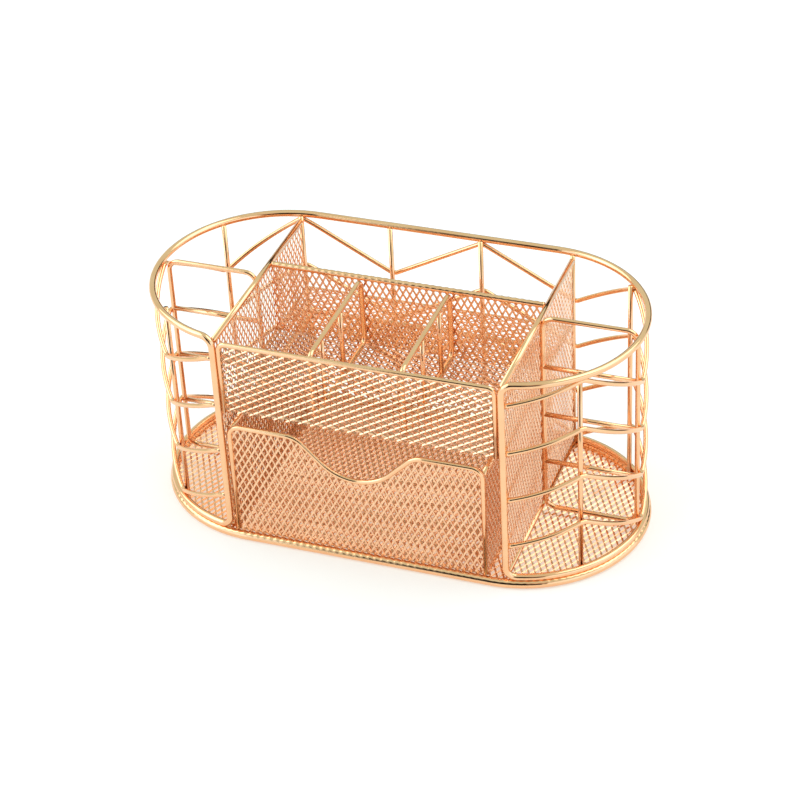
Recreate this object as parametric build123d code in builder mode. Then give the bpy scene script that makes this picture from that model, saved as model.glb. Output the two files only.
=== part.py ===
"""Desk organizer of bent wire and expanded-metal mesh, with one sliding drawer.

+X runs along the long side, -Y faces the drawer front and +Z is up. The origin is on
the table, under the middle of the oval base. All sizes are in millimetres.
"""

from build123d import *
import math
import os

os.makedirs("parts", exist_ok=True)

# Plan: two mesh side panels stand square beside the drawer, and a round end closes each side
DRAWER_WIDTH = 114.2
DRAWER_GAP_LEFT = 3.9
DRAWER_GAP_RIGHT = 8.9
DRAWER_BACK_GAP = 7.0
PANEL_INSET = 7.5
END_RADIUS = 53.0
BASE_OVERHANG = 0.4

# Levels above the table, each to the middle of its wire
RIM_LEVEL = 104.3
PANEL_TOP_LEVEL = 102.2
TRAY_TOP_LEVEL = 102.0
TRAY_FLOOR_LEVEL = 68.0
DRAWER_TOP_LEVEL = 60.0
DRAWER_RIM_LEVEL = 57.0

# Wire diameters
LOOP_WIRE = 3.1
BASE_WIRE = 3.8
RAIL_WIRE = 1.9
POST_WIRE = 2.0
PANEL_WIRE = 2.6
TRAY_WIRE = 2.2
TRAY_BACK_WIRE = 2.5
TRAY_DIVIDER_WIRE = 2.4
DRAWER_WIRE = 2.3

# Wires are drawn with flats, so that pieces meet on a face: eight on the loop and the base ring
LOOP_SIDES = 8
WIRE_SIDES = 6

# Chords to each square bend of a divider loop
BEND_CHORDS = 5

# Expanded mesh: sheet, solid edge, strand, and the two diagonals of a diamond
SHEET = 1.0
MESH_BORDER = 2.0
MESH_STRAND = 1.8
DIAMOND_LONG = 42.0
DIAMOND_SHORT = 21.0

# Bends
LOOP_BEND = 5.0
DIVIDER_BEND = 5.0
TRAY_BEND = 3.0
TRAY_DIVIDER_BEND = 4.0
DRAWER_CORNER_BEND = 5.0
DRAWER_BACK_BEND = 5.0
RAIL_BEND_REACH = 1.2

# Zigzag rails and the posts that carry them
RAIL_COUNT = 4
RAIL_SPAN_STEPS = 4
RAIL_RISE = 21.5
RAIL_END_DROP = 8.0
FRONT_POST_ANGLE = 45.0
REAR_POST_ANGLE = 41.0
WELD = 0.05

# Tray
TRAY_BACK_Y = 12.0
TRAY_DIVIDER_X = 20.3
TRAY_BAR_NEAR = 14.0
TRAY_BAR_FAR = 36.0
DIVIDER_CROSS_WIRES = 3
DIVIDER_FOOT_LEVEL = 5.0
DIVIDER_TOP_LEVEL = 104.0

# Drawer
DRAWER_LIFT = 0.4
SCOOP_HALF_WIDTH = 26.8
SCOOP_DEPTH = 26.8
SCOOP_RADIUS = 22.0
SCOOP_SHOULDER = 10.0

# Worked out from the above: the drawer lies a little left of the middle of its bay
PANEL_SPACING = DRAWER_GAP_LEFT + DRAWER_WIDTH + DRAWER_GAP_RIGHT
PANEL_X = PANEL_SPACING / 2
DRAWER_X = (DRAWER_GAP_LEFT - DRAWER_GAP_RIGHT) / 2
DRAWER_BACK_Y = END_RADIUS - DRAWER_BACK_GAP
END_CENTRE = PANEL_X - PANEL_INSET
BASE_LEVEL = BASE_WIRE / 2
BASE_RADIUS = END_RADIUS + BASE_OVERHANG
BOTTOM_LEVEL = BASE_WIRE + LOOP_WIRE / 2
BASE_TOP = BASE_LEVEL + SHEET / 2
LOOP_INSIDE = END_RADIUS - LOOP_WIRE / 2
FLAT_TO_EDGE = 1 / math.cos(math.pi / WIRE_SIDES)
LOOP_REACH = LOOP_WIRE / 2 / math.cos(math.pi / LOOP_SIDES)
POST_REACH = POST_WIRE / 2 * FLAT_TO_EDGE
PANEL_WIRE_REACH = PANEL_WIRE / 2 * FLAT_TO_EDGE
DRAWER_WIRE_REACH = DRAWER_WIRE / 2 * FLAT_TO_EDGE
POST_RADIUS = LOOP_INSIDE - POST_WIRE / 2 + WELD
RAIL_RADIUS = POST_RADIUS + POST_WIRE / 2 + RAIL_WIRE / 2 - WELD
CORNER_ANGLE = math.degrees(math.acos((PANEL_X - END_CENTRE) / POST_RADIUS))
BACK_POST_Y = POST_RADIUS * math.sin(math.radians(CORNER_ANGLE))
MID_POST_X = PANEL_SPACING / 6

# The loop leaves each round end along its tangent, one bend before the front post
BEND_ANGLE = math.degrees(
    math.acos((PANEL_X - END_CENTRE) / math.hypot(END_RADIUS, LOOP_BEND)) - math.atan(LOOP_BEND / END_RADIUS)
)
FRONT_Y = -END_RADIUS * math.sin(math.radians(BEND_ANGLE)) - LOOP_BEND * math.cos(math.radians(BEND_ANGLE))


def end_point(side, angle, radius, level):
    """Point on a round end: side is -1 or 1, angle 0 at its tip and 90 at the back."""
    turn = math.radians(angle)
    return Vector(side * (END_CENTRE + radius * math.cos(turn)), radius * math.sin(turn), level)


def end_heading(side, angle):
    """Direction along a round end, towards the back."""
    turn = math.radians(angle)
    return Vector(-side * math.sin(turn), math.cos(turn), 0)


def finish(piece, label):
    piece.part.label = label
    export_step(piece.part, f"parts/{label}.step")


def sweep_wire(path, diameter, edge, corner=Transition.TRANSFORMED):
    """Sweep a six-sided wire along its path: edge is the way that one of its edges points."""
    with BuildSketch(Plane(origin=path.line @ 0, x_dir=edge, z_dir=path.line % 0)) as section:
        RegularPolygon(diameter / 2, WIRE_SIDES, major_radius=False)
    sweep(section.sketch, path=path.wire(), transition=corner)


def straight_wire(label, start, end, diameter, edge):
    with BuildPart() as wire:
        with BuildLine() as path:
            Line(start, end)
        sweep_wire(path, diameter, edge)
    finish(wire, label)


def bent_wire(label, corners, radii, diameter, edge):
    with BuildPart() as wire:
        with BuildLine() as path:
            FilletPolyline(*corners, radius=radii)
        sweep_wire(path, diameter, edge)
    finish(wire, label)


def loop_points(corners, radius):
    """Points round a loop with square corners: chords round each bend, from the middle of its last side."""
    points = []
    for before, corner, after in zip(corners[-1:] + corners[:-1], corners, corners[1:] + corners[:1]):
        first = corner + (before - corner).normalized() * radius
        last = corner + (after - corner).normalized() * radius
        centre = first + last - corner
        for step in range(BEND_CHORDS + 1):
            turn = math.radians(90 * step / BEND_CHORDS)
            points.append(centre + (first - centre) * math.cos(turn) + (last - centre) * math.sin(turn))
    middle = (points[0] + points[-1]) * 0.5
    return [middle, *points, middle]


def closed_wire(label, corners, radius, diameter, edge):
    with BuildPart() as wire:
        with BuildLine() as path:
            Polyline(*loop_points([Vector(*corner) for corner in corners], radius))
        sweep_wire(path, diameter, edge, corner=Transition.RIGHT)
    finish(wire, label)


def diamond_centres(box, across, along):
    """Staggered centres of the diamonds over a sheet's box."""
    columns = math.ceil(box.size.X / across / 2) + 1
    rows = math.ceil(box.size.Y / along / 2) + 1
    middle = box.center()
    for column in range(-2 * columns, 2 * columns + 1):
        for row in range(-2 * rows, 2 * rows + 1):
            if (column + row) % 2 == 0:
                x = column * across / 2
                y = row * along / 2
                if abs(x) < (box.size.X + across) / 2 and abs(y) < (box.size.Y + along) / 2:
                    yield middle.X + x, middle.Y + y


def open_mesh(sheet, across, along):
    """Cut staggered diamonds out of a sheet, inside its solid border."""
    field = offset(sheet.sketch_local, amount=-MESH_BORDER, kind=Kind.INTERSECTION, mode=Mode.PRIVATE)
    inradius = across * along / 2 / math.hypot(across, along)
    shrink = 1 - MESH_STRAND / 2 / inradius
    half_x = shrink * across / 2
    half_y = shrink * along / 2
    with BuildSketch(mode=Mode.PRIVATE) as cells:
        with Locations(*diamond_centres(field.bounding_box(), across, along)):
            Polygon((half_x, 0), (0, half_y), (-half_x, 0), (0, -half_y))
        add(field, mode=Mode.INTERSECT)
    add(cells.sketch, mode=Mode.SUBTRACT)


def framed_mesh(label, plane, corners, radii, diameter, across, along):
    """Flat mesh sheet that fills an open frame of wire, down to the frame's feet."""
    left, right = corners[0], corners[-1]
    inset = diameter / 2
    with BuildPart() as mesh:
        with BuildSketch(plane) as sheet:
            with BuildLine():
                FilletPolyline(*corners, radius=radii)
                Polyline(right, (right[0], right[1] - inset), (left[0], left[1] - inset), left)
            make_face()
            offset(amount=-inset, kind=Kind.INTERSECTION, mode=Mode.REPLACE)
            open_mesh(sheet, across, along)
        extrude(amount=SHEET / 2, both=True)
    finish(mesh, label)


def mesh_sheet(label, plane, centre, size, across, along):
    """Flat rectangular mesh sheet, centred on its plane."""
    with BuildPart() as mesh:
        with BuildSketch(plane) as sheet:
            with Locations(centre):
                Rectangle(*size)
            open_mesh(sheet, across, along)
        extrude(amount=SHEET / 2, both=True)
    finish(mesh, label)


# Frame loop: rim, front posts and bottom rail in one closed wire
with BuildPart() as frame_loop:
    with BuildLine() as loop_path:
        for level, first, last in ((RIM_LEVEL, 1, -1), (BOTTOM_LEVEL, -1, 1)):
            inward = -LOOP_BEND if level == RIM_LEVEL else LOOP_BEND
            start = end_point(first, -BEND_ANGLE, END_RADIUS, level)
            end = end_point(last, -BEND_ANGLE, END_RADIUS, level)
            ThreePointArc(
                start, end_point(first, 0, END_RADIUS, level), end_point(first, 90, END_RADIUS, level)
            )
            Line(end_point(first, 90, END_RADIUS, level), end_point(last, 90, END_RADIUS, level))
            ThreePointArc(end_point(last, 90, END_RADIUS, level), end_point(last, 0, END_RADIUS, level), end)
            TangentArc(
                end, (last * PANEL_X, FRONT_Y, level + inward), tangent=-end_heading(last, -BEND_ANGLE)
            )
            Line(
                (last * PANEL_X, FRONT_Y, level + inward),
                (last * PANEL_X, FRONT_Y, RIM_LEVEL + BOTTOM_LEVEL - level - inward),
            )
            TangentArc(
                (last * PANEL_X, FRONT_Y, RIM_LEVEL + BOTTOM_LEVEL - level - inward),
                end_point(last, -BEND_ANGLE, END_RADIUS, RIM_LEVEL + BOTTOM_LEVEL - level),
                tangent=(0, 0, inward),
            )
    with BuildSketch(Plane(origin=loop_path.line @ 0, x_dir=(0, 0, 1), z_dir=loop_path.line % 0)):
        RegularPolygon(LOOP_WIRE / 2, LOOP_SIDES, major_radius=False, rotation=180 / LOOP_SIDES)
    sweep(path=loop_path.wire())
finish(frame_loop, "frame_loop")

# Base ring and the oval mesh floor inside it
with BuildPart() as base_ring:
    for side in (-1, 1):
        with BuildSketch(Plane.YZ.offset(side * END_CENTRE)) as ring_section:
            with Locations((-side * BASE_RADIUS, BASE_LEVEL)):
                RegularPolygon(BASE_WIRE / 2, LOOP_SIDES, major_radius=False, rotation=180 / LOOP_SIDES)
        revolve(ring_section.sketch, axis=Axis((side * END_CENTRE, 0, 0), (0, 0, 1)), revolution_arc=180)
        extrude(ring_section.sketch, amount=-side * 2 * END_CENTRE)
finish(base_ring, "base_ring")

with BuildPart() as base_mesh:
    with BuildSketch(Plane.XY.offset(BASE_LEVEL)) as floor_sheet:
        SlotCenterToCenter(2 * END_CENTRE, 2 * BASE_RADIUS - BASE_WIRE)
        open_mesh(floor_sheet, DIAMOND_LONG, DIAMOND_SHORT)
    extrude(amount=SHEET / 2, both=True)
finish(base_mesh, "base_mesh")

# Zigzag rails: one wire each, low and high by turns at the posts it passes
RAIL_TOP = RIM_LEVEL - (LOOP_WIRE + RAIL_WIRE) / 2
RAIL_FOOT = BOTTOM_LEVEL + (LOOP_WIRE + RAIL_WIRE) / 2
RAIL_PITCH = (RAIL_TOP - RAIL_RISE - RAIL_FOOT) / (RAIL_COUNT - 1)
RAIL_TIP = END_CENTRE + RAIL_RADIUS * math.pi / 2
RAIL_FRONT = RAIL_TIP + RAIL_RADIUS * math.radians(FRONT_POST_ANGLE)
RAIL_REAR = RAIL_TIP - RAIL_RADIUS * math.radians(REAR_POST_ANGLE)
RAIL_CORNER = RAIL_TIP - RAIL_RADIUS * math.radians(CORNER_ANGLE)
RAIL_END = RAIL_TIP + RAIL_RADIUS * math.radians(BEND_ANGLE) + LOOP_BEND - LOOP_WIRE / 2


def rail_point(way, level):
    """Point on a rail: way is measured along it from the middle of the back, right side positive."""
    side = math.copysign(1, way)
    if abs(way) <= END_CENTRE:
        return Vector(way, RAIL_RADIUS, level)
    return end_point(side, 90 - math.degrees((abs(way) - END_CENTRE) / RAIL_RADIUS), RAIL_RADIUS, level)


def rail_points(top):
    """Corners of a rail: level for a short reach at each post, sloping round the end to the next."""
    low = top - RAIL_RISE
    end = top - RAIL_END_DROP
    ways = (RAIL_END, RAIL_FRONT, RAIL_TIP, RAIL_REAR, RAIL_CORNER, MID_POST_X)
    stations = [(-way, level) for way, level in zip(ways, (end, low, top, low, top, low))]
    stations += [(way, level) for way, level in zip(reversed(ways), (top, low, top, low, top, end))]
    points = []
    for (way, level), (next_way, next_level) in zip(stations, stations[1:]):
        start = way if abs(way) == RAIL_END else way + RAIL_BEND_REACH
        stop = next_way if abs(next_way) == RAIL_END else next_way - RAIL_BEND_REACH
        steps = RAIL_SPAN_STEPS if min(abs(way), abs(next_way)) > END_CENTRE else 1
        for step in range(steps + 1):
            share = step / steps
            points.append(rail_point(start + share * (stop - start), level + share * (next_level - level)))
    return points


for number in range(RAIL_COUNT):
    with BuildPart() as zigzag_rail:
        with BuildLine() as rail_path:
            Polyline(*rail_points(RAIL_TOP - number * RAIL_PITCH))
        sweep_wire(rail_path, RAIL_WIRE, (0, 0, 1), corner=Transition.RIGHT)
    finish(zigzag_rail, f"zigzag_rail_{number + 1}")

# Posts, welded inside the loop's rim and bottom rail
for side, word in ((-1, "left"), (1, "right")):
    posts = {
        f"{word}_front_post": end_point(side, -FRONT_POST_ANGLE, POST_RADIUS, 0),
        f"{word}_rear_post": end_point(side, REAR_POST_ANGLE, POST_RADIUS, 0),
        f"back_{word}_corner_post": end_point(side, CORNER_ANGLE, POST_RADIUS, 0),
        f"back_{word}_mid_post": Vector(side * MID_POST_X, POST_RADIUS, 0),
    }
    for label, foot in posts.items():
        sideways = (-foot.Y, foot.X - side * min(abs(foot.X), END_CENTRE), 0)
        straight_wire(label, foot + Vector(0, 0, BASE_TOP), foot + Vector(0, 0, RIM_LEVEL), POST_WIRE, sideways)

# End dividers: a closed loop with cross wires, between a side panel and the tip of the end
DIVIDER_INNER_X = PANEL_X + SHEET / 2 + POST_WIRE / 2
DIVIDER_OUTER_X = END_CENTRE + POST_RADIUS
CROSS_PITCH = (DIVIDER_TOP_LEVEL - DIVIDER_FOOT_LEVEL) / (DIVIDER_CROSS_WIRES + 1)
for side, word in ((-1, "left"), (1, "right")):
    near = side * DIVIDER_INNER_X
    far = side * DIVIDER_OUTER_X
    closed_wire(
        f"{word}_divider_loop",
        [
            (near, 0, DIVIDER_FOOT_LEVEL),
            (near, 0, DIVIDER_TOP_LEVEL),
            (far, 0, DIVIDER_TOP_LEVEL),
            (far, 0, DIVIDER_FOOT_LEVEL),
        ],
        DIVIDER_BEND,
        POST_WIRE,
        (0, 1, 0),
    )
    for number in range(1, DIVIDER_CROSS_WIRES + 1):
        level = DIVIDER_TOP_LEVEL - number * CROSS_PITCH
        straight_wire(
            f"{word}_divider_cross_wire_{number}",
            (near + side * POST_WIRE / 2, 0, level),
            (far - side * POST_WIRE / 2, 0, level),
            POST_WIRE,
            (0, 0, 1),
        )

# Side panels: a mesh sheet hung between a top and a bottom wire
PANEL_FRONT_Y = FRONT_Y + LOOP_REACH
PANEL_REAR_Y = BACK_POST_Y - POST_REACH
PANEL_MESH_TOP = PANEL_TOP_LEVEL - PANEL_WIRE / 2
PANEL_MESH_FOOT = BOTTOM_LEVEL + PANEL_WIRE / 2
for side, word in ((-1, "left"), (1, "right")):
    for label, level in ((f"{word}_panel_top_wire", PANEL_TOP_LEVEL), (f"{word}_panel_foot_wire", BOTTOM_LEVEL)):
        straight_wire(
            label, (side * PANEL_X, PANEL_FRONT_Y, level), (side * PANEL_X, PANEL_REAR_Y, level), PANEL_WIRE, (1, 0, 0)
        )
    mesh_sheet(
        f"{word}_panel_mesh",
        Plane.YZ.offset(side * PANEL_X),
        ((PANEL_FRONT_Y + PANEL_REAR_Y) / 2, (PANEL_MESH_TOP + PANEL_MESH_FOOT) / 2),
        (PANEL_REAR_Y - PANEL_FRONT_Y, PANEL_MESH_TOP - PANEL_MESH_FOOT),
        DIAMOND_SHORT,
        DIAMOND_LONG,
    )

# Tray: mesh floor, front wall in an inverted U of wire, back wall hemmed over a wire
TRAY_LEG_X = PANEL_X - LOOP_REACH - TRAY_WIRE / 2
TRAY_HALF_WIDTH = PANEL_X - SHEET / 2
TRAY_FRONT_HALF = TRAY_LEG_X - TRAY_WIRE / 2
TRAY_FLOOR_TOP = TRAY_FLOOR_LEVEL + SHEET / 2
TRAY_FLOOR_FOOT = TRAY_FLOOR_LEVEL - SHEET / 2
TRAY_REAR_Y = PANEL_REAR_Y
TRAY_FRONT_INSIDE = FRONT_Y + SHEET / 2
FRONT_PLANE = Plane.XZ.offset(-FRONT_Y)

with BuildPart() as tray_floor_mesh:
    with BuildSketch(Plane.XY.offset(TRAY_FLOOR_LEVEL)) as tray_sheet:
        with BuildLine():
            Polyline(
                (TRAY_FRONT_HALF, TRAY_FRONT_INSIDE),
                (TRAY_FRONT_HALF, PANEL_FRONT_Y),
                (TRAY_HALF_WIDTH, PANEL_FRONT_Y),
                (TRAY_HALF_WIDTH, TRAY_REAR_Y),
                (0, TRAY_REAR_Y),
            )
            mirror(about=Plane.YZ)
            Line((-TRAY_FRONT_HALF, TRAY_FRONT_INSIDE), (TRAY_FRONT_HALF, TRAY_FRONT_INSIDE))
        make_face()
        open_mesh(tray_sheet, DIAMOND_LONG, DIAMOND_SHORT)
    extrude(amount=SHEET / 2, both=True)
finish(tray_floor_mesh, "tray_floor_mesh")

TRAY_FRONT_CORNERS = [
    (-TRAY_LEG_X, TRAY_FLOOR_FOOT),
    (-TRAY_LEG_X, TRAY_TOP_LEVEL),
    (TRAY_LEG_X, TRAY_TOP_LEVEL),
    (TRAY_LEG_X, TRAY_FLOOR_FOOT),
]
bent_wire("tray_front_wire", [(x, FRONT_Y, z) for x, z in TRAY_FRONT_CORNERS], TRAY_BEND, TRAY_WIRE, (0, 1, 0))
framed_mesh(
    "tray_front_mesh", FRONT_PLANE, TRAY_FRONT_CORNERS, TRAY_BEND, TRAY_WIRE, DIAMOND_LONG, DIAMOND_SHORT
)

TRAY_BACK_MESH_TOP = PANEL_TOP_LEVEL - TRAY_BACK_WIRE / 2
mesh_sheet(
    "tray_back_mesh",
    Plane.XZ.offset(-TRAY_BACK_Y),
    (0, (TRAY_FLOOR_TOP + TRAY_BACK_MESH_TOP) / 2),
    (2 * TRAY_HALF_WIDTH, TRAY_BACK_MESH_TOP - TRAY_FLOOR_TOP),
    DIAMOND_SHORT,
    DIAMOND_LONG,
)
TRAY_BACK_WIRE_HALF = PANEL_X - PANEL_WIRE_REACH
straight_wire(
    "tray_back_wire",
    (-TRAY_BACK_WIRE_HALF, TRAY_BACK_Y, PANEL_TOP_LEVEL),
    (TRAY_BACK_WIRE_HALF, TRAY_BACK_Y, PANEL_TOP_LEVEL),
    TRAY_BACK_WIRE,
    (0, 1, 0),
)

# Tray dividers: the same loop twice, turned end for end, each with two upright bars
DIVIDER_FRONT_Y = TRAY_FRONT_INSIDE + TRAY_DIVIDER_WIRE / 2
DIVIDER_REAR_Y = TRAY_BACK_Y - (SHEET + TRAY_DIVIDER_WIRE) / 2
DIVIDER_LOW_LEVEL = TRAY_FLOOR_TOP + TRAY_DIVIDER_WIRE / 2
for side, word in ((-1, "left"), (1, "right")):
    x = side * TRAY_DIVIDER_X
    closed_wire(
        f"tray_divider_{word}_loop",
        [
            (x, DIVIDER_FRONT_Y, DIVIDER_LOW_LEVEL),
            (x, DIVIDER_REAR_Y, DIVIDER_LOW_LEVEL),
            (x, DIVIDER_REAR_Y, TRAY_TOP_LEVEL),
            (x, DIVIDER_FRONT_Y, TRAY_TOP_LEVEL),
        ],
        TRAY_DIVIDER_BEND,
        TRAY_DIVIDER_WIRE,
        (1, 0, 0),
    )
    for number, reach in ((1, TRAY_BAR_NEAR), (2, TRAY_BAR_FAR)):
        y = DIVIDER_FRONT_Y + reach if side < 0 else DIVIDER_REAR_Y - reach
        straight_wire(
            f"tray_divider_{word}_bar_{number}",
            (x, y, DIVIDER_LOW_LEVEL + TRAY_DIVIDER_WIRE / 2),
            (x, y, TRAY_TOP_LEVEL - TRAY_DIVIDER_WIRE / 2),
            POST_WIRE,
            (1, 0, 0),
        )

# Drawer: mesh box on a mesh floor, a scooped front frame and a rim wire round the rest
DRAWER_LEFT = DRAWER_X - DRAWER_WIDTH / 2
DRAWER_RIGHT = DRAWER_X + DRAWER_WIDTH / 2
DRAWER_FOOT = BASE_WIRE + DRAWER_LIFT
DRAWER_FLOOR_TOP = DRAWER_FOOT + SHEET
DRAWER_SIDE_TOP = DRAWER_RIM_LEVEL - DRAWER_WIRE / 2
DRAWER_SIDE_FRONT = FRONT_Y + DRAWER_WIRE_REACH
DRAWER_SHEET_FRONT = FRONT_Y - SHEET / 2
DRAWER_SHEET_REAR = DRAWER_BACK_Y + SHEET / 2


# Front outline, from the left leg over the finger scoop to the right leg
FRONT_CORNERS = [
    (DRAWER_LEFT, DRAWER_FLOOR_TOP),
    (DRAWER_LEFT, DRAWER_TOP_LEVEL),
    (DRAWER_X - SCOOP_HALF_WIDTH, DRAWER_TOP_LEVEL),
    (DRAWER_X, DRAWER_TOP_LEVEL - SCOOP_DEPTH),
    (DRAWER_X + SCOOP_HALF_WIDTH, DRAWER_TOP_LEVEL),
    (DRAWER_RIGHT, DRAWER_TOP_LEVEL),
    (DRAWER_RIGHT, DRAWER_FLOOR_TOP),
]
FRONT_RADII = [DRAWER_CORNER_BEND, SCOOP_SHOULDER, SCOOP_RADIUS, SCOOP_SHOULDER, DRAWER_CORNER_BEND]
bent_wire(
    "drawer_front_frame", [(x, FRONT_Y, z) for x, z in FRONT_CORNERS], FRONT_RADII, DRAWER_WIRE, (0, 1, 0)
)
framed_mesh(
    "drawer_front_mesh", FRONT_PLANE, FRONT_CORNERS, FRONT_RADII, DRAWER_WIRE, DIAMOND_SHORT, DIAMOND_LONG
)

mesh_sheet(
    "drawer_floor_mesh",
    Plane.XY.offset(DRAWER_FOOT + SHEET / 2),
    (DRAWER_X, (DRAWER_SHEET_FRONT + DRAWER_SHEET_REAR) / 2),
    (DRAWER_WIDTH + DRAWER_WIRE, DRAWER_SHEET_REAR - DRAWER_SHEET_FRONT),
    DIAMOND_LONG,
    DIAMOND_SHORT,
)
for x, word in ((DRAWER_LEFT, "left"), (DRAWER_RIGHT, "right")):
    mesh_sheet(
        f"drawer_{word}_mesh",
        Plane.YZ.offset(x),
        ((DRAWER_SIDE_FRONT + DRAWER_SHEET_REAR) / 2, (DRAWER_FLOOR_TOP + DRAWER_SIDE_TOP) / 2),
        (DRAWER_SHEET_REAR - DRAWER_SIDE_FRONT, DRAWER_SIDE_TOP - DRAWER_FLOOR_TOP),
        DIAMOND_SHORT,
        DIAMOND_LONG,
    )
mesh_sheet(
    "drawer_back_mesh",
    Plane.XZ.offset(-DRAWER_BACK_Y),
    (DRAWER_X, (DRAWER_FLOOR_TOP + DRAWER_SIDE_TOP) / 2),
    (DRAWER_WIDTH - SHEET, DRAWER_SIDE_TOP - DRAWER_FLOOR_TOP),
    DIAMOND_SHORT,
    DIAMOND_LONG,
)
bent_wire(
    "drawer_rim_wire",
    [
        (DRAWER_LEFT, DRAWER_SIDE_FRONT, DRAWER_RIM_LEVEL),
        (DRAWER_LEFT, DRAWER_BACK_Y, DRAWER_RIM_LEVEL),
        (DRAWER_RIGHT, DRAWER_BACK_Y, DRAWER_RIM_LEVEL),
        (DRAWER_RIGHT, DRAWER_SIDE_FRONT, DRAWER_RIM_LEVEL),
    ],
    DRAWER_BACK_BEND,
    DRAWER_WIRE,
    (1, 0, 0),
)
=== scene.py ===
"""Looks of the wire and mesh desk organizer: round wires, fine expanded mesh, rose-gold plating."""

import math

import bpy
from mathutils import Matrix, Vector


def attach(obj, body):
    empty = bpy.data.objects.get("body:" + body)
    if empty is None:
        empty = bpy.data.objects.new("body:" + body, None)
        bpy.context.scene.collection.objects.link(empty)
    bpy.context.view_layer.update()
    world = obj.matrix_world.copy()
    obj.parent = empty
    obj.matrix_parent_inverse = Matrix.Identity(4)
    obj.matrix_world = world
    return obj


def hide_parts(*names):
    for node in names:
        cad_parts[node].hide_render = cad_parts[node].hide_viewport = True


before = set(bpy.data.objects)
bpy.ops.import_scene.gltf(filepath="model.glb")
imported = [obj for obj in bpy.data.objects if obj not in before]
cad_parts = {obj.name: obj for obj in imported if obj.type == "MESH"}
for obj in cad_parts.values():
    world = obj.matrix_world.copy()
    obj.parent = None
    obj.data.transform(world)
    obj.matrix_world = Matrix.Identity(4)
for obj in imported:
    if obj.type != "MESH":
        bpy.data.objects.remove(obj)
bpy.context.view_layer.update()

MM = 0.001
SIDES = (("left", -1), ("right", 1))

# Plan and levels of the wires, in millimetres, as in the solids
PANEL_X = 63.5
END_CENTRE = 56.0
END_RADIUS = 53.0
BASE_RADIUS = 53.4
POST_RADIUS = 50.5
RAIL_RADIUS = 52.4
RIM_LEVEL = 104.3
PANEL_TOP_LEVEL = 102.2
TRAY_TOP_LEVEL = 102.0
TRAY_FLOOR_LEVEL = 68.0
BASE_LEVEL = 1.9
BOTTOM_LEVEL = 5.35
BASE_TOP = 2.4

# In the solids: half the thickness of a mesh sheet, and how many flat sides the frame loop's wire has
HALF_SHEET = 0.5
LOOP_SIDES = 8

# Wire radii
LOOP_R = 1.55
BASE_R = 1.9
RAIL_R = 1.05
POST_R = 1.1
PANEL_R = 1.3
TRAY_R = 1.1
TRAY_BACK_R = 1.25
TRAY_DIVIDER_R = 1.2
DRAWER_R = 1.15

# Bends, to the middle of the wire
LOOP_BEND = 5.0
DIVIDER_BEND = 5.0
TRAY_BEND = 3.0
TRAY_DIVIDER_BEND = 4.0
DRAWER_BEND = 5.0
RAIL_BEND = 2.0
RAIL_REACH = 1.2

# Zigzag rails
RAIL_COUNT = 4
RAIL_RISE = 21.5
RAIL_END_DROP = 8.0
FRONT_POST_ANGLE = 45.0
REAR_POST_ANGLE = 41.0

# End dividers
DIVIDER_FOOT = 5.0
DIVIDER_TOP = 104.0
DIVIDER_CROSS_WIRES = 3

# Tray: its back, the gap in front of its floor, its dividers and how far in their bars stand
TRAY_BACK_Y = 12.0
TRAY_FLOOR_GAP = 1.0
TRAY_DIVIDER_X = 20.3
TRAY_BARS = (14.0, 36.0)

# Drawer, and the finger scoop in its front
DRAWER_X = -2.5
DRAWER_HALF = 57.1
DRAWER_BACK_Y = 46.0
DRAWER_TOP = 60.0
DRAWER_RIM = 57.0
DRAWER_FLOOR = 4.7
DRAWER_FLOOR_TOP = 5.2
SCOOP = 26.8
SCOOP_RADIUS = 22.0
SCOOP_SHOULDER = 10.0

# Expanded mesh: the diagonals of a diamond, a strand's width and thickness, and the folded edge of a sheet
MESH_CELL = (5.95, 3.1)
TRAY_FRONT_CELL = (5.55, 3.22)
DRAWER_MESH_TURN = -2.6
STRAND_WIDTH = 0.8
TRAY_FRONT_STRAND = 0.66
RIGHT_PANEL_STRAND = 0.6
STRAND_THICK = 0.45
RIGHT_PANEL_THICK = 0.35
FOLD_WIDTH = 0.9

# How far the strands of each sheet lean over about their own length, in degrees
LEAN = {
    "base_mesh": 25,
    "left_panel_mesh": 28,
    "right_panel_mesh": 32,
    "tray_floor_mesh": 28,
    "tray_front_mesh": 41,
    "tray_back_mesh": -14,
    "drawer_front_mesh": -14,
    "drawer_floor_mesh": 25,
    "drawer_left_mesh": 15,
    "drawer_right_mesh": -10,
    "drawer_back_mesh": -14,
}

# Cut strands under a rolled edge: how much they bulge
HEM_BULGE = 0.16

# Weld bead at each end of a rail: how much it swells, and how far along
BEAD_SWELL = 0.35
BEAD_REACH = 1.3

# Fineness: facets round a wire, degrees along a bend, parts of a round end or the back, steps in millimetres
WIRE_FACETS = 14
THICK_WIRE_FACETS = 20
RAIL_FACETS = 12
BEND_STEP = 9.0
RAIL_BEND_STEP = 7.0
SCOOP_STEP = 6.0
LOOP_END_PARTS = 44
LOOP_BACK_PARTS = 12
RING_END_PARTS = 60
BASE_EDGE_PARTS = 40
RAIL_STEP = 1.5
RING_STEP = 0.6
TRAY_BACK_STEP = 0.5
SHORTEST_STEP = 0.05

# A strand and an edge count as parallel if their cross product is below this
PARALLEL = 1e-12

# Plating: the share of the noise over which tint and gloss change, and a fine ripple
TINT_RANGE = (0.35, 0.65)
GLOSS_RANGE = (0.3, 0.7)
MOTTLE_DETAIL = 3.0
RIPPLE_DETAIL = 2.0
RIPPLE_FINENESS = 6
RIPPLE_STRENGTH = 0.06
RIPPLE_HEIGHT_M = 0.0002

# Floor, in metres
FLOOR_HALF_M = 4.0
# The cool paint and the warm glow add up to white in the open; in the object's shadow the warm glow stays,
# so the shadow is a painted warm shade
FLOOR_COOL_PAINT = (0.44, 0.60, 0.70)
FLOOR_WARM_GLOW = (0.60, 0.43, 0.33)

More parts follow.
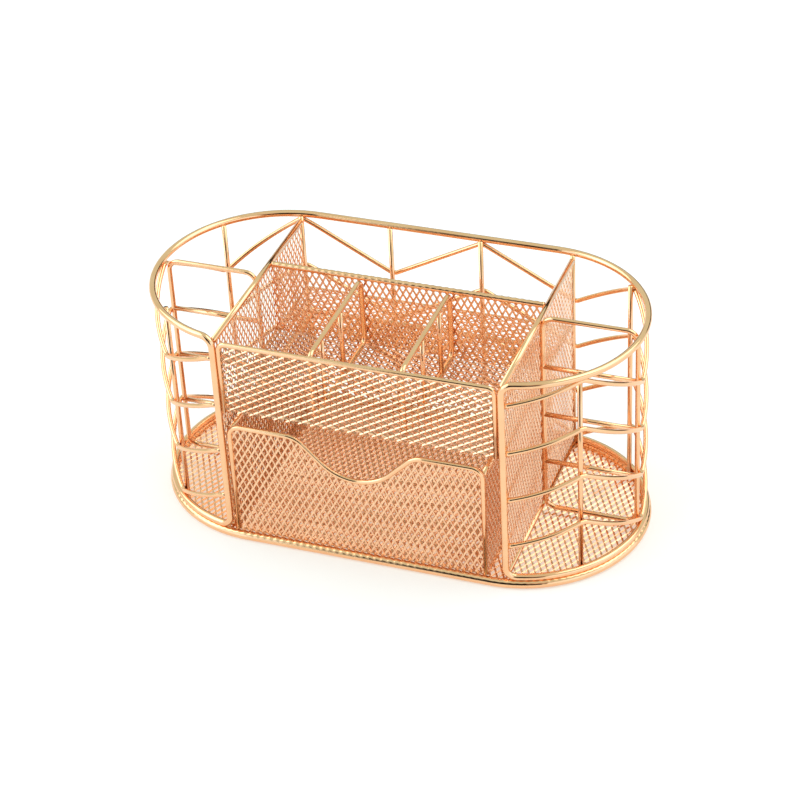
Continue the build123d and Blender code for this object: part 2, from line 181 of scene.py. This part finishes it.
# Colours of the light by direction
TENT = (0.72, 0.88, 0.80)
FRONT_LEFT_LIGHT = (1.2, 1.45, 1.7)
RIGHT_SIDE_LIGHT = (1.2, 1.4, 1.6)
BESIDE_CAMERA_LIGHT = (0.6, 0.48, 0.4)
DARK = (0.02, 0.02, 0.018)

# Edges of the patches of light, as a component of the direction: where each change starts and ends
CAMERA_LEFT = (-0.32, -0.29)
CAMERA_RIGHT = (0.46, 0.54)
CAMERA_REAR = (-0.45, -0.37)
ABOVE_RIGHT = (0.22, 0.30)
ABOVE_TOP = (0.64, 0.74)
LOW_TOP = (0.42, 0.52)
FRONT_LEFT_RIGHT = (-0.36, -0.32)
FRONT_LEFT_REAR = (-0.32, -0.24)
FRONT_LEFT_TOP = (0.6, 0.72)
RIGHT_SIDE_LEFT = (0.5, 0.58)
RIGHT_SIDE_REAR = (0.5, 0.6)
TABLE_FRONT = (0.76, 0.84)
TABLE_TOP = (0.24, 0.30)

# Softboxes, in metres and watts
SOFTBOX_PLACES = {"left_softbox": (-1.0, -0.25, 0.9), "right_softbox": (0.75, 0.35, 1.15)}
SOFTBOX_TARGET = (0, 0, 0.05)
SOFTBOX_SIZE = (1.1, 1.1)
SOFTBOX_POWER = 6.5

# Camera: direction, distance and lens worked out from the photograph
CAMERA_MM = (326.1, -827.2, 671.8)
CAMERA_AZIMUTH = 21.58
CAMERA_ELEVATION = 34.99
CAMERA_ROLL = -3.31
CAMERA_LENS = 111.24
CAMERA_SENSOR = 36.0
CAMERA_CLIP_M = (0.01, 20.0)

# Worked out: where the posts, the front and the bends of the frame loop lie
CORNER_ANGLE = math.degrees(math.acos((PANEL_X - END_CENTRE) / POST_RADIUS))
BACK_POST_Y = POST_RADIUS * math.sin(math.radians(CORNER_ANGLE))
BEND_ANGLE = math.degrees(
    math.acos((PANEL_X - END_CENTRE) / math.hypot(END_RADIUS, LOOP_BEND)) - math.atan(LOOP_BEND / END_RADIUS)
)
FRONT_Y = -END_RADIUS * math.sin(math.radians(BEND_ANGLE)) - LOOP_BEND * math.cos(math.radians(BEND_ANGLE))
MID_POST_X = PANEL_X / 3


def end_point(side, angle, radius, level):
    """Point on a round end: side is -1 or 1, angle 0 at its tip and 90 at the back."""
    turn = math.radians(angle)
    return Vector((side * (END_CENTRE + radius * math.cos(turn)), radius * math.sin(turn), level))


def round_corners(points, radii, closed=False, step=BEND_STEP):
    """Points with each corner turned into an arc of its radius; a radius of 0 leaves the point."""
    count = len(points)
    made = []
    for i, corner in enumerate(points):
        radius = radii[i] if isinstance(radii, (list, tuple)) else radii
        corner = Vector(corner)
        if radius <= 0 or (not closed and i in (0, count - 1)):
            made.append(corner)
            continue
        before = (Vector(points[i - 1]) - corner).normalized()
        after = (Vector(points[(i + 1) % count]) - corner).normalized()
        turn = math.pi - before.angle(after)
        reach = radius * math.tan(turn / 2)
        inward = (before + after).normalized()
        centre = corner + inward * (radius / math.cos(turn / 2))
        first = corner + before * reach - centre
        axis = first.cross(corner + after * reach - centre).normalized()
        steps = max(2, math.ceil(math.degrees(turn) / step))
        for k in range(steps + 1):
            made.append(centre + Matrix.Rotation(turn * k / steps, 3, axis) @ first)
    return made


def dense(points, step, closed=False):
    """The same path with points no more than a step apart."""
    made = []
    count = len(points)
    for i in range(count if closed else count - 1):
        a, b = points[i], points[(i + 1) % count]
        parts = max(1, math.ceil((b - a).length / step))
        made += [a.lerp(b, k / parts) for k in range(parts)]
    return made if closed else made + [points[-1]]


def mesh_object(name, verts, faces, smooth=True):
    """An object with this mesh, given in millimetres."""
    data = bpy.data.meshes.new(name)
    data.from_pydata([tuple(c * MM for c in v) for v in verts], [], faces)
    data.polygons.foreach_set("use_smooth", [smooth] * len(data.polygons))
    data.validate()
    data.update()
    made = bpy.data.objects.new(name, data)
    bpy.context.scene.collection.objects.link(made)
    return made


def tube_shape(points, radius, closed, facets, swell):
    """Vertices and faces of a round tube; swell(way, angle) may change the radius along it."""
    points = [Vector(p) for p in points]
    count = len(points)
    tangents = []
    for i, point in enumerate(points):
        ahead = points[(i + 1) % count] if closed or i < count - 1 else point
        behind = points[i - 1] if closed or i > 0 else point
        tangents.append(((ahead - point).normalized() + (point - behind).normalized()).normalized())
    normals = [tangents[0].orthogonal().normalized()]
    for before, after in zip(tangents, tangents[1:]):
        normals.append((before.rotation_difference(after) @ normals[-1]).normalized())
    twist = 0.0
    if closed:
        back = (tangents[-1].rotation_difference(tangents[0]) @ normals[-1]).normalized()
        twist = math.atan2(back.cross(normals[0]).dot(tangents[0]), back.dot(normals[0]))
    verts = []
    way = 0.0
    for i, (point, tangent, normal) in enumerate(zip(points, tangents, normals)):
        if i:
            way += (point - points[i - 1]).length
        normal = Matrix.Rotation(twist * i / count, 3, tangent) @ normal
        across = tangent.cross(normal)
        for j in range(facets):
            angle = 2 * math.pi * j / facets
            out = radius if swell is None else radius * swell(way, angle)
            verts.append(point + (normal * math.cos(angle) + across * math.sin(angle)) * out)
    faces = []
    for i in range(count if closed else count - 1):
        here, beyond = i * facets, (i + 1) % count * facets
        for j in range(facets):
            k = (j + 1) % facets
            faces.append((here + j, here + k, beyond + k, beyond + j))
    if not closed:
        faces.append(tuple(reversed(range(facets))))
        faces.append(tuple(range((count - 1) * facets, count * facets)))
    return verts, faces


def dress(piece, body, slot, material, *nodes):
    """Gives a piece its material and body, in place of these nodes of the solids; the slot is not used."""
    piece.data.materials.append(material)
    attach(piece, body)
    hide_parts(*nodes)


def wire(node, points, radius, body="frame", closed=False, facets=WIRE_FACETS, swell=None):
    """A round wire along these points, in place of a node."""
    verts, faces = tube_shape(points, radius, closed, facets, swell)
    dress(mesh_object(node + "_round", verts, faces), body, "wire", WIRE, node)


# Materials
def plated(name, colour, shade, rough, grain):
    """Polished rose-gold plating, with slight mottling in its colour and gloss and a fine ripple."""
    made = bpy.data.materials.new(name)
    made.use_nodes = True
    nodes, links = made.node_tree.nodes, made.node_tree.links
    shader = nodes["Principled BSDF"]
    shader.inputs["Metallic"].default_value = 1.0
    place = nodes.new("ShaderNodeTexCoord")

    def noise(scale, detail):
        pattern = nodes.new("ShaderNodeTexNoise")
        pattern.inputs["Scale"].default_value = scale
        pattern.inputs["Detail"].default_value = detail
        links.new(place.outputs["Object"], pattern.inputs["Vector"])
        return pattern.outputs["Fac"]

    mottle = noise(grain, MOTTLE_DETAIL)
    tint = nodes.new("ShaderNodeValToRGB")
    for k, paint in enumerate((shade, colour)):
        tint.color_ramp.elements[k].position = TINT_RANGE[k]
        tint.color_ramp.elements[k].color = (*paint, 1)
    links.new(mottle, tint.inputs["Fac"])
    links.new(tint.outputs["Color"], shader.inputs["Base Color"])
    gloss = nodes.new("ShaderNodeMapRange")
    gloss.inputs["From Min"].default_value, gloss.inputs["From Max"].default_value = GLOSS_RANGE
    gloss.inputs["To Min"].default_value, gloss.inputs["To Max"].default_value = rough
    links.new(mottle, gloss.inputs["Value"])
    links.new(gloss.outputs["Result"], shader.inputs["Roughness"])
    bump = nodes.new("ShaderNodeBump")
    bump.inputs["Strength"].default_value = RIPPLE_STRENGTH
    bump.inputs["Distance"].default_value = RIPPLE_HEIGHT_M
    links.new(noise(grain * RIPPLE_FINENESS, RIPPLE_DETAIL), bump.inputs["Height"])
    links.new(bump.outputs["Normal"], shader.inputs["Normal"])
    return made


WIRE = plated(
    "rose_gold_wire", colour=(0.96, 0.57, 0.32), shade=(0.93, 0.52, 0.28), rough=(0.08, 0.13), grain=90.0
)
MESH = plated(
    "rose_gold_mesh", colour=(0.96, 0.60, 0.37), shade=(0.93, 0.55, 0.33), rough=(0.20, 0.30), grain=140.0
)


# Frame loop: rim, front posts and bottom rail in one closed wire
def loop_half(level, first):
    """One level of the loop, from the first side's front corner round the back to the other's."""
    points = [Vector((first * PANEL_X, FRONT_Y, level))]
    turns = [-BEND_ANGLE + (90 + BEND_ANGLE) * k / LOOP_END_PARTS for k in range(LOOP_END_PARTS + 1)]
    points += [end_point(first, turn, END_RADIUS, level) for turn in turns]
    for k in range(1, LOOP_BACK_PARTS):
        points.append(Vector((first * END_CENTRE * (1 - 2 * k / LOOP_BACK_PARTS), END_RADIUS, level)))
    points += [end_point(-first, turn, END_RADIUS, level) for turn in reversed(turns)]
    return points + [Vector((-first * PANEL_X, FRONT_Y, level))]


def loop_path():
    """The whole loop, its four front corners bent, without points that all but coincide."""
    rim, foot = loop_half(RIM_LEVEL, 1), loop_half(BOTTOM_LEVEL, -1)
    radii = ([LOOP_BEND] + [0] * (len(rim) - 2) + [LOOP_BEND]) * 2
    made = []
    for p in round_corners(rim + foot, radii, closed=True):
        if not made or (p - made[-1]).length > SHORTEST_STEP:
            made.append(p)
    return made


wire("frame_loop", loop_path(), LOOP_R, closed=True, facets=THICK_WIRE_FACETS)


# Base ring, and the mesh edge rolled round it
def oval(radius, level, steps):
    """Points of an oval with two round ends, each in so many steps."""
    points = []
    for side in (1, -1):
        for k in range(steps + 1):
            points.append(end_point(side, side * (-90 + 180 * k / steps), radius, level))
    return points


def hem(way, angle):
    """The cut strands under a rolled edge: a bulge a cell apart, on the side where the angle is 0."""
    share = 0.5 + 0.5 * math.cos(2 * math.pi * way / MESH_CELL[1])
    return 1 + HEM_BULGE * share * max(0.0, math.cos(angle))


ring = dense(oval(BASE_RADIUS, BASE_LEVEL, RING_END_PARTS), RING_STEP, closed=True)
wire("base_ring", ring, BASE_R, closed=True, facets=THICK_WIRE_FACETS, swell=hem)

# Zigzag rails, laid out flat along their way round the frame and then bent round it
RAIL_TOP = RIM_LEVEL - LOOP_R - RAIL_R
RAIL_FOOT = BOTTOM_LEVEL + LOOP_R + RAIL_R
RAIL_PITCH = (RAIL_TOP - RAIL_RISE - RAIL_FOOT) / (RAIL_COUNT - 1)
RAIL_TIP = END_CENTRE + RAIL_RADIUS * math.pi / 2
RAIL_FRONT = RAIL_TIP + RAIL_RADIUS * math.radians(FRONT_POST_ANGLE)
RAIL_REAR = RAIL_TIP - RAIL_RADIUS * math.radians(REAR_POST_ANGLE)
RAIL_CORNER = RAIL_TIP - RAIL_RADIUS * math.radians(CORNER_ANGLE)
RAIL_END = RAIL_TIP + RAIL_RADIUS * math.radians(BEND_ANGLE) + LOOP_BEND - LOOP_R


def on_rail(way, level):
    """Point of a rail at a way from the middle of the back, left ways being negative."""
    if abs(way) <= END_CENTRE:
        return Vector((way, RAIL_RADIUS, level))
    angle = 90 - math.degrees((abs(way) - END_CENTRE) / RAIL_RADIUS)
    return end_point(math.copysign(1, way), angle, RAIL_RADIUS, level)


def rail_path(top):
    """A rail that falls and climbs from post to post, with its peaks at this level."""
    low, end = top - RAIL_RISE, top - RAIL_END_DROP
    ways = (RAIL_END, RAIL_FRONT, RAIL_TIP, RAIL_REAR, RAIL_CORNER, MID_POST_X)
    stations = [(-way, level) for way, level in zip(ways, (end, low, top, low, top, low))]
    stations += [(way, level) for way, level in zip(reversed(ways), (top, low, top, low, top, end))]
    flat = []
    for way, level in stations:
        if abs(way) == RAIL_END:
            flat.append(Vector((way, 0, level)))
        else:
            flat += [Vector((way - RAIL_REACH, 0, level)), Vector((way + RAIL_REACH, 0, level))]
    flat = dense(round_corners(flat, RAIL_BEND, step=RAIL_BEND_STEP), RAIL_STEP)
    return [on_rail(p.x, p.z) for p in flat]


def beaded(points):
    """How a wire with these points swells to a weld bead at each end."""
    length = sum((b - a).length for a, b in zip(points, points[1:]))

    def swell(way, angle):
        end = min(way, length - way)
        return 1 + BEAD_SWELL * math.exp(-((end / BEAD_REACH) ** 2))

    return swell


for number in range(RAIL_COUNT):
    path = rail_path(RAIL_TOP - number * RAIL_PITCH)
    wire(f"zigzag_rail_{number + 1}", path, RAIL_R, facets=RAIL_FACETS, swell=beaded(path))

# Posts
for word, side in SIDES:
    posts = {
        f"{word}_front_post": end_point(side, -FRONT_POST_ANGLE, POST_RADIUS, 0),
        f"{word}_rear_post": end_point(side, REAR_POST_ANGLE, POST_RADIUS, 0),
        f"back_{word}_corner_post": end_point(side, CORNER_ANGLE, POST_RADIUS, 0),
        f"back_{word}_mid_post": Vector((side * MID_POST_X, POST_RADIUS, 0)),
    }
    for node, foot in posts.items():
        wire(node, [foot + Vector((0, 0, BASE_TOP)), foot + Vector((0, 0, RIM_LEVEL))], POST_R)

# End dividers
DIVIDER_INNER_X = PANEL_X + HALF_SHEET + POST_R
DIVIDER_OUTER_X = END_CENTRE + POST_RADIUS
for word, side in SIDES:
    near, far = side * DIVIDER_INNER_X, side * DIVIDER_OUTER_X
    corners = [
        Vector((near, 0, DIVIDER_FOOT)),
        Vector((near, 0, DIVIDER_TOP)),
        Vector((far, 0, DIVIDER_TOP)),
        Vector((far, 0, DIVIDER_FOOT)),
    ]
    wire(f"{word}_divider_loop", round_corners(corners, DIVIDER_BEND, closed=True), POST_R, closed=True)
    for number in range(1, DIVIDER_CROSS_WIRES + 1):
        level = DIVIDER_TOP - number * (DIVIDER_TOP - DIVIDER_FOOT) / (DIVIDER_CROSS_WIRES + 1)
        ends = [Vector((x, 0, level)) for x in (near, far)]
        wire(f"{word}_divider_cross_wire_{number}", ends, POST_R)

# Side panel wires
PANEL_FRONT_Y = FRONT_Y + LOOP_R
PANEL_REAR_Y = BACK_POST_Y - POST_R
for word, side in SIDES:
    for place, level in (("top", PANEL_TOP_LEVEL), ("foot", BOTTOM_LEVEL)):
        ends = [Vector((side * PANEL_X, y, level)) for y in (PANEL_FRONT_Y, PANEL_REAR_Y)]
        wire(f"{word}_panel_{place}_wire", ends, PANEL_R)

# Tray wires
TRAY_LEG_X = PANEL_X - LOOP_R / math.cos(math.pi / LOOP_SIDES) - TRAY_R
TRAY_FOOT = TRAY_FLOOR_LEVEL - HALF_SHEET
tray_corners = [
    Vector((-TRAY_LEG_X, FRONT_Y, TRAY_FOOT)),
    Vector((-TRAY_LEG_X, FRONT_Y, TRAY_TOP_LEVEL)),
    Vector((TRAY_LEG_X, FRONT_Y, TRAY_TOP_LEVEL)),
    Vector((TRAY_LEG_X, FRONT_Y, TRAY_FOOT)),
]
tray_front = round_corners(tray_corners, TRAY_BEND)
wire("tray_front_wire", tray_front, TRAY_R)
back_ends = [Vector((side * (PANEL_X - PANEL_R), TRAY_BACK_Y, PANEL_TOP_LEVEL)) for side in (-1, 1)]
wire("tray_back_wire", dense(back_ends, TRAY_BACK_STEP), TRAY_BACK_R, swell=hem)

# Tray dividers
DIVIDER_FRONT_Y = FRONT_Y + HALF_SHEET + TRAY_DIVIDER_R
DIVIDER_REAR_Y = TRAY_BACK_Y - HALF_SHEET - TRAY_DIVIDER_R
DIVIDER_LOW = TRAY_FLOOR_LEVEL + HALF_SHEET + TRAY_DIVIDER_R
for word, side in SIDES:
    x = side * TRAY_DIVIDER_X
    corners = [
        Vector((x, DIVIDER_FRONT_Y, DIVIDER_LOW)),
        Vector((x, DIVIDER_REAR_Y, DIVIDER_LOW)),
        Vector((x, DIVIDER_REAR_Y, TRAY_TOP_LEVEL)),
        Vector((x, DIVIDER_FRONT_Y, TRAY_TOP_LEVEL)),
    ]
    loop = round_corners(corners, TRAY_DIVIDER_BEND, closed=True)
    wire(f"tray_divider_{word}_loop", loop, TRAY_DIVIDER_R, closed=True)
    for number, reach in enumerate(TRAY_BARS, start=1):
        y = DIVIDER_FRONT_Y + reach if side < 0 else DIVIDER_REAR_Y - reach
        bar = [Vector((x, y, DIVIDER_LOW)), Vector((x, y, TRAY_TOP_LEVEL))]
        wire(f"tray_divider_{word}_bar_{number}", bar, POST_R)

# Drawer wires
DRAWER_LEFT = DRAWER_X - DRAWER_HALF
DRAWER_RIGHT = DRAWER_X + DRAWER_HALF
FRONT_CORNERS = [
    (DRAWER_LEFT, DRAWER_FLOOR_TOP),
    (DRAWER_LEFT, DRAWER_TOP),
    (DRAWER_X - SCOOP, DRAWER_TOP),
    (DRAWER_X, DRAWER_TOP - SCOOP),
    (DRAWER_X + SCOOP, DRAWER_TOP),
    (DRAWER_RIGHT, DRAWER_TOP),
    (DRAWER_RIGHT, DRAWER_FLOOR_TOP),
]
FRONT_RADII = [0, DRAWER_BEND, SCOOP_SHOULDER, SCOOP_RADIUS, SCOOP_SHOULDER, DRAWER_BEND, 0]
front_corners = [Vector((x, FRONT_Y, z)) for x, z in FRONT_CORNERS]
drawer_front = round_corners(front_corners, FRONT_RADII, step=SCOOP_STEP)
wire("drawer_front_frame", drawer_front, DRAWER_R, body="drawer")
rim = [
    Vector((DRAWER_LEFT, FRONT_Y + DRAWER_R, DRAWER_RIM)),
    Vector((DRAWER_LEFT, DRAWER_BACK_Y, DRAWER_RIM)),
    Vector((DRAWER_RIGHT, DRAWER_BACK_Y, DRAWER_RIM)),
    Vector((DRAWER_RIGHT, FRONT_Y + DRAWER_R, DRAWER_RIM)),
]
wire("drawer_rim_wire", round_corners(rim, DRAWER_BEND), DRAWER_R, body="drawer")


# Expanded mesh
def crossings(outline, origin, heading):
    """Where a line enters and leaves a closed outline, as ways along the line."""
    ways = []
    for a, b in zip(outline, outline[1:] + outline[:1]):
        edge = b - a
        cross = heading.x * edge.y - heading.y * edge.x
        if abs(cross) < PARALLEL:
            continue
        gap = a - origin
        share = (gap.x * heading.y - gap.y * heading.x) / cross
        if 0 <= share < 1:
            ways.append((gap.x * edge.y - gap.y * edge.x) / cross)
    ways.sort()
    return list(zip(ways[::2], ways[1::2]))


def strand_shape(start, end, wide, deep, verts, faces):
    """A flat strand from start to end; wide and deep are the half width and half thickness."""
    if wide.cross(deep).dot(end - start) < 0:
        deep = -deep
    base = len(verts)
    for p in (start, end):
        verts.extend((p - wide - deep, p + wide - deep, p + wide + deep, p - wide + deep))
    for j in range(4):
        k = (j + 1) % 4
        faces.append((base + j, base + k, base + 4 + k, base + 4 + j))
    faces.append((base + 3, base + 2, base + 1, base))
    faces.append((base + 4, base + 5, base + 6, base + 7))


def fold(outline, place, verts, faces):
    """The folded edge of a sheet: a flat strip along the inside of its outline."""
    corners = [place(p.x, p.y, 0) for p in outline]
    normal = (place(0, 0, 1) - place(0, 0, 0)).normalized()
    for a, b in zip(corners, corners[1:] + corners[:1]):
        inward = normal.cross(b - a).normalized() * (FOLD_WIDTH / 2)
        strand_shape(a + inward, b + inward, inward, normal * (STRAND_THICK / 2), verts, faces)


def net(
    node, outline, place, upright,
    body="frame", cell=MESH_CELL, turn=0.0, width=STRAND_WIDTH, thick=STRAND_THICK, folded=False,
):
    """Expanded mesh over a flat outline. place maps (a, b, height) to the object.

    The long way of the diamonds runs along b if upright and else along a, turned by a few degrees.
    The strands lean over towards the other way.
    """
    outline = [Vector(p) for p in outline]
    axis = math.radians((90 if upright else 0) + turn)
    half = math.atan2(cell[1], cell[0])
    spacing = cell[0] * cell[1] / math.hypot(*cell)
    over = math.radians(LEAN[node])
    lows = [min(p[k] for p in outline) for k in (0, 1)]
    highs = [max(p[k] for p in outline) for k in (0, 1)]
    middle = Vector(((lows[0] + highs[0]) / 2, (lows[1] + highs[1]) / 2))
    reach = math.hypot(highs[0] - lows[0], highs[1] - lows[1]) / 2
    count = math.ceil(reach / spacing)
    zero = place(0, 0, 0)
    normal = (place(0, 0, 1) - zero).normalized()
    verts, faces = [], []
    for sign in (1, -1):
        heading = Vector((math.cos(axis + sign * half), math.sin(axis + sign * half)))
        across = Vector((heading.y, -heading.x)) if upright else Vector((-heading.y, heading.x))
        out = (place(across.x, across.y, 0) - zero).normalized()
        wide = (out * math.cos(over) - normal * math.sin(over)) * (width / 2)
        deep = (normal * math.cos(over) + out * math.sin(over)) * (thick / 2)
        for k in range(-count, count):
            origin = middle + across * ((k + 0.5) * spacing)
            for first, last in crossings(outline, origin, heading):
                if last - first < width:
                    continue
                a, b = origin + heading * first, origin + heading * last
                strand_shape(place(a.x, a.y, 0), place(b.x, b.y, 0), wide, deep, verts, faces)
    if folded:
        fold(outline, place, verts, faces)
    dress(mesh_object(node + "_net", verts, faces, smooth=False), body, "mesh", MESH, node)


def box_outline(a0, a1, b0, b1):
    return [(a0, b0), (a1, b0), (a1, b1), (a0, b1)]


def level_place(level):
    return lambda a, b, h: Vector((a, b, level + h))


def facing_front(y):
    return lambda a, b, h: Vector((a, y - h, b))


def facing_right(x):
    return lambda a, b, h: Vector((x + h, a, b))


# Mesh of the frame
base_edge = oval(BASE_RADIUS - BASE_R / 2, 0, BASE_EDGE_PARTS)
net("base_mesh", [(p.x, p.y) for p in base_edge], level_place(BASE_LEVEL), True)
panel = box_outline(PANEL_FRONT_Y, PANEL_REAR_Y, BOTTOM_LEVEL, PANEL_TOP_LEVEL)
right_sheet = {"width": RIGHT_PANEL_STRAND, "thick": RIGHT_PANEL_THICK}
net("left_panel_mesh", panel, facing_right(-PANEL_X), True)
net("right_panel_mesh", panel, facing_right(PANEL_X), True, **right_sheet)
TRAY_HALF = PANEL_X - HALF_SHEET
tray_outline = box_outline(-TRAY_HALF, TRAY_HALF, FRONT_Y + TRAY_FLOOR_GAP, PANEL_REAR_Y)
net("tray_floor_mesh", tray_outline, level_place(TRAY_FLOOR_LEVEL), False, folded=True)
front_outline = [(p.x, p.z) for p in tray_front]
front_sheet = {"cell": TRAY_FRONT_CELL, "width": TRAY_FRONT_STRAND}
net("tray_front_mesh", front_outline, facing_front(FRONT_Y), False, **front_sheet)
back_outline = box_outline(-TRAY_HALF, TRAY_HALF, TRAY_FLOOR_LEVEL, PANEL_TOP_LEVEL)
net("tray_back_mesh", back_outline, facing_front(TRAY_BACK_Y), True)

# Mesh of the drawer
drawer_outline = [(p.x, p.z) for p in drawer_front]
drawer_sheet = {"body": "drawer", "turn": DRAWER_MESH_TURN}
net("drawer_front_mesh", drawer_outline, facing_front(FRONT_Y), True, **drawer_sheet)
floor_outline = box_outline(DRAWER_LEFT - DRAWER_R, DRAWER_RIGHT + DRAWER_R, FRONT_Y, DRAWER_BACK_Y)
net("drawer_floor_mesh", floor_outline, level_place(DRAWER_FLOOR), True, body="drawer", folded=True)
side_outline = box_outline(FRONT_Y, DRAWER_BACK_Y, DRAWER_FLOOR_TOP, DRAWER_RIM)
for word, x in (("left", DRAWER_LEFT), ("right", DRAWER_RIGHT)):
    net(f"drawer_{word}_mesh", side_outline, facing_right(x), True, body="drawer")
rear_outline = box_outline(DRAWER_LEFT, DRAWER_RIGHT, DRAWER_FLOOR_TOP, DRAWER_RIM)
net("drawer_back_mesh", rear_outline, facing_front(DRAWER_BACK_Y), True, body="drawer")


# Floor: a cool pale paint and a warm glow that come to white under this light, with the object's soft shadow
# on it; where the shadow takes away the paint's light the warm glow stays, a painted warm shade
def floor():
    corners = [(x * FLOOR_HALF_M, y * FLOOR_HALF_M, 0) for x, y in ((-1, -1), (1, -1), (1, 1), (-1, 1))]
    data = bpy.data.meshes.new("floor")
    data.from_pydata(corners, [], [(0, 1, 2, 3)])
    made = bpy.data.objects.new("floor", data)
    bpy.context.scene.collection.objects.link(made)
    material = bpy.data.materials.new("floor_white")
    material.use_nodes = True
    nodes, links = material.node_tree.nodes, material.node_tree.links
    nodes.remove(nodes["Principled BSDF"])
    matt = nodes.new("ShaderNodeBsdfDiffuse")
    matt.inputs["Color"].default_value = (*FLOOR_COOL_PAINT, 1)
    glow = nodes.new("ShaderNodeEmission")
    glow.inputs["Color"].default_value = (*FLOOR_WARM_GLOW, 1)
    both = nodes.new("ShaderNodeAddShader")
    links.new(matt.outputs["BSDF"], both.inputs[0])
    links.new(glow.outputs["Emission"], both.inputs[1])
    links.new(both.outputs["Shader"], nodes["Material Output"].inputs["Surface"])
    data.materials.append(material)


floor()


# Light: a grey-green tent, brighter at the front left and right, dark about the camera and far back
def studio():
    world = bpy.data.worlds.new("studio")
    bpy.context.scene.world = world
    world.use_nodes = True
    nodes, links = world.node_tree.nodes, world.node_tree.links
    place = nodes.new("ShaderNodeTexCoord")
    split = nodes.new("ShaderNodeSeparateXYZ")
    links.new(place.outputs["Generated"], split.inputs["Vector"])

    def step(source, edge, first, last):
        """A smooth change from the first value to the last across an edge."""
        made = nodes.new("ShaderNodeMapRange")
        made.interpolation_type = "SMOOTHSTEP"
        made.inputs["From Min"].default_value, made.inputs["From Max"].default_value = edge
        made.inputs["To Min"].default_value = first
        made.inputs["To Max"].default_value = last
        links.new(source, made.inputs["Value"])
        return made.outputs["Result"]

    def past(source, edge):
        return step(source, edge, 0, 1)

    def short_of(source, edge):
        return step(source, edge, 1, 0)

    def times(*values):
        product = values[0]
        for value in values[1:]:
            made = nodes.new("ShaderNodeMath")
            made.operation = "MULTIPLY"
            links.new(product, made.inputs[0])
            links.new(value, made.inputs[1])
            product = made.outputs["Value"]
        return product

    def paint(share, under, colour):
        """A colour laid over another by a share; a Mix node's colour sockets are found by number."""
        made = nodes.new("ShaderNodeMix")
        made.data_type = "RGBA"
        links.new(share, made.inputs[0])
        links.new(under, made.inputs[6])
        made.inputs[7].default_value = (*colour, 1)
        return made.outputs[2]

    x, y, z = (split.outputs[axis] for axis in "XYZ")
    tent = nodes.new("ShaderNodeRGB")
    tent.outputs[0].default_value = (*TENT, 1)
    low = short_of(z, LOW_TOP)
    front_left = times(
        short_of(x, FRONT_LEFT_RIGHT), short_of(y, FRONT_LEFT_REAR), short_of(z, FRONT_LEFT_TOP)
    )
    right_side = times(past(x, RIGHT_SIDE_LEFT), short_of(y, RIGHT_SIDE_REAR), low)
    ahead = times(past(x, CAMERA_LEFT), short_of(y, CAMERA_REAR), short_of(x, CAMERA_RIGHT))
    camera_side = times(ahead, low)
    beside_camera = times(ahead, short_of(z, ABOVE_TOP))
    camera_above = times(beside_camera, short_of(x, ABOVE_RIGHT))
    table_edge = times(past(y, TABLE_FRONT), short_of(z, TABLE_TOP))
    colour = paint(front_left, tent.outputs[0], FRONT_LEFT_LIGHT)
    colour = paint(right_side, colour, RIGHT_SIDE_LIGHT)
    colour = paint(beside_camera, colour, BESIDE_CAMERA_LIGHT)
    for share in (camera_side, camera_above, table_edge):
        colour = paint(share, colour, DARK)
    links.new(colour, nodes["Background"].inputs["Color"])


studio()


# Two softboxes above, one on the left and one behind on the right
def softbox(name, place):
    data = bpy.data.lights.new(name, "AREA")
    data.shape = "RECTANGLE"
    data.size, data.size_y = SOFTBOX_SIZE
    data.energy = SOFTBOX_POWER
    made = bpy.data.objects.new(name, data)
    made.location = place
    made.rotation_euler = (Vector(SOFTBOX_TARGET) - Vector(place)).to_track_quat("-Z", "Y").to_euler()
    bpy.context.scene.collection.objects.link(made)


for name, place in SOFTBOX_PLACES.items():
    softbox(name, place)


# Camera
def camera():
    data = bpy.data.cameras.new("camera")
    data.lens = CAMERA_LENS
    data.sensor_width = CAMERA_SENSOR
    data.clip_start, data.clip_end = CAMERA_CLIP_M
    made = bpy.data.objects.new("camera", data)
    bpy.context.scene.collection.objects.link(made)
    a, e, roll = (math.radians(v) for v in (CAMERA_AZIMUTH, CAMERA_ELEVATION, CAMERA_ROLL))
    ahead = Vector((-math.sin(a) * math.cos(e), math.cos(a) * math.cos(e), -math.sin(e)))
    level_right = Vector((math.cos(a), math.sin(a), 0))
    level_up = level_right.cross(ahead)
    right = level_right * math.cos(roll) + level_up * math.sin(roll)
    up = level_up * math.cos(roll) - level_right * math.sin(roll)
    turn = Matrix((right, up, -ahead)).transposed().to_4x4()
    made.matrix_world = Matrix.Translation(Vector(CAMERA_MM) * MM) @ turn
    bpy.context.scene.camera = made


camera()
bpy.context.scene.view_settings.view_transform = "Standard"
